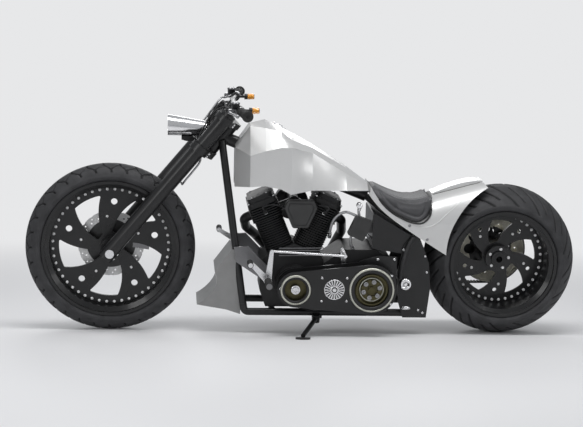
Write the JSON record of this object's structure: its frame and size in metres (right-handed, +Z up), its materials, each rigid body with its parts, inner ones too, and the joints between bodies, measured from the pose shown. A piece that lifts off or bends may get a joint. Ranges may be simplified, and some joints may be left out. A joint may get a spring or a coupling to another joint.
{
  "type": "chopper motorcycle",
  "caption": "custom chopper motorcycle with raked fork, wide rear tyre, faceted tank, open V-twin and belt primary, parked on its side stand",
  "frame": {"origin": "centre of the bounding box, on the ground", "axes": "X forward along the wheelbase, Y to the rider's left, Z up; the bike leans to +Y on its side stand"},
  "size_m": [2.4214, 0.8573, 1.0776],
  "materials": {
    "tyre_rubber": "black tyre rubber",
    "black_wheel": "satin black wheel",
    "disc_steel": "brushed steel",
    "silver_paint": "silver white paint",
    "seat_leather": "grey leather",
    "grip_rubber": "black rubber",
    "lamp_aluminium": "polished aluminium",
    "amber_lens": "amber lens",
    "black_metal": "satin black"
  },
  "bodies": {
    "chassis": {"air_cleaner": "black_metal", "brake_pedal": "lamp_aluminium", "chin_spoiler": "silver_paint", "crankcase": "black_metal", "cylinders": "black_metal", "drive_belt": "grip_rubber", "electric_box": "black_metal", "exhaust": "black_metal", "frame_downtubes": "black_metal", "frame_rails": "black_metal", "frame_spine": "black_metal", "gearbox": "black_metal", "horn_cover": "black_metal", "left_foot_control": "black_metal", "motor_plate": "black_metal", "oil_tank": "black_metal", "primary_belt": "grip_rubber", "primary_guard": "black_metal", "primary_pulleys": "lamp_aluminium", "pushrod_tubes": "black_metal", "rear_axle": "disc_steel", "rear_caliper": "black_metal", "rear_plates": "black_metal", "right_foot_control": "black_metal", "rocker_boxes": "black_metal", "seat": "seat_leather", "shift_linkage": "lamp_aluminium", "swing_arm": "black_metal", "tail": "silver_paint", "tank": "silver_paint"},
    "steering": {"fork_legs": "black_metal", "lower_clamp": "black_metal", "upper_clamp": "black_metal", "handlebar": "black_metal", "grips": "grip_rubber", "levers": "lamp_aluminium", "headlight": "lamp_aluminium", "turn_signals": "amber_lens", "front_caliper": "black_metal", "front_axle": "disc_steel"},
    "front_wheel": {"front_tyre": "tyre_rubber", "front_rim": "black_wheel", "front_spider": "black_wheel", "front_disc": "disc_steel"},
    "rear_wheel": {"rear_tyre": "tyre_rubber", "rear_rim": "black_wheel", "rear_spider": "black_wheel", "rear_pulley": "disc_steel"},
    "stand": {"side_stand": "black_metal"}
  },
  "joints": [
    {"name": "steering", "type": "hinge", "parent": "chassis", "child": "steering", "pos_m": [0.38554, -0.00499, 0.83032], "axis": [-0.6388, 0.1004, 0.7628], "range_deg": [-28, 28]},
    {"name": "front_wheel_spin", "type": "hinge", "parent": "steering", "child": "front_wheel", "pos_m": [0.84075, -0.06593, 0.36742], "axis": [0, 0.9914, -0.1305], "continuous": true},
    {"name": "rear_wheel_spin", "type": "hinge", "parent": "chassis", "child": "rear_wheel", "pos_m": [-0.87725, -0.07056, 0.33227], "axis": [0, 0.9914, -0.1305], "continuous": true},
    {"name": "side_stand_fold", "type": "hinge", "parent": "chassis", "child": "stand", "pos_m": [-0.05725, 0.04841, 0.07137], "axis": [0.0026, 0.3467, 0.938], "range_deg": [0, 105]}
  ]
}
